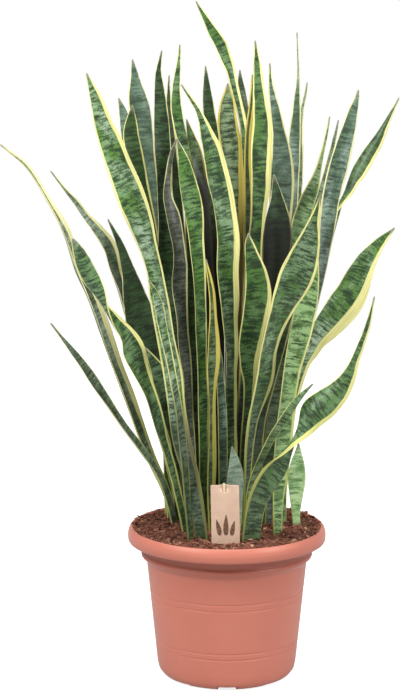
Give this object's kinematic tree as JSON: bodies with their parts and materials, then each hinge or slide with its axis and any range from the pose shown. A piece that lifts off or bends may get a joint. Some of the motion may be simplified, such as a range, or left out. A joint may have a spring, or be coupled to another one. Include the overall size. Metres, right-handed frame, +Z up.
{
  "type": "potted laurentii snake plant",
  "caption": "Full snake plant with upright yellow-edged sword leaves in a round moulded plastic pot with bark compost and a plant card.",
  "frame": {"origin": "middle of the disc under the pot's floor, on the plane the pot stands on", "axes": "+Z up along the pot's axis, -Y towards the front where the card stands"},
  "size_m": [0.5903, 0.4415, 0.9898],
  "materials": {
    "pot_plastic": "satin",
    "compost": "matte",
    "leaf": "satin",
    "card": "matte",
    "stick_wood": "matte"
  },
  "bodies": {
    "root": {"pot": "pot_plastic", "soil": "compost", "label_card": "card", "label_stick": "stick_wood", "leaf_left_low": "leaf", "leaf_left_far": "leaf", "leaf_left_twisted": "leaf", "leaf_left_inner": "leaf", "leaf_left_slim": "leaf", "leaf_left_dark": "leaf", "leaf_left_front": "leaf", "leaf_left_narrow": "leaf", "leaf_rear_left_a": "leaf", "leaf_rear_left_b": "leaf", "leaf_rear_left_c": "leaf", "leaf_left_upright": "leaf", "leaf_rear_pale": "leaf", "leaf_centre_bright": "leaf", "leaf_centre_wavy": "leaf", "leaf_rear_thin": "leaf", "leaf_rear_cream": "leaf", "leaf_centre_front": "leaf", "leaf_label_left": "leaf", "leaf_label_back": "leaf", "leaf_sucker_front": "leaf", "leaf_rear_centre_a": "leaf", "leaf_rear_centre_b": "leaf", "leaf_tallest": "leaf", "leaf_rear_purple": "leaf", "leaf_right_tall": "leaf", "leaf_rear_golden": "leaf", "leaf_right_blue": "leaf", "leaf_right_folded": "leaf", "leaf_rear_right_a": "leaf", "leaf_rear_right_b": "leaf", "leaf_right_behind": "leaf", "leaf_back_a": "leaf", "leaf_back_b": "leaf", "leaf_back_c": "leaf", "leaf_back_d": "leaf", "leaf_rear_right_c": "leaf", "leaf_right_arching": "leaf", "leaf_right_far": "leaf", "leaf_right_long_front": "leaf", "leaf_right_short_broad": "leaf", "leaf_right_low_arching": "leaf", "leaf_right_light": "leaf", "leaf_right_front_twisted": "leaf", "leaf_right_low": "leaf", "leaf_right_hidden": "leaf", "leaf_sucker_right": "leaf"}
  },
  "joints": []
}
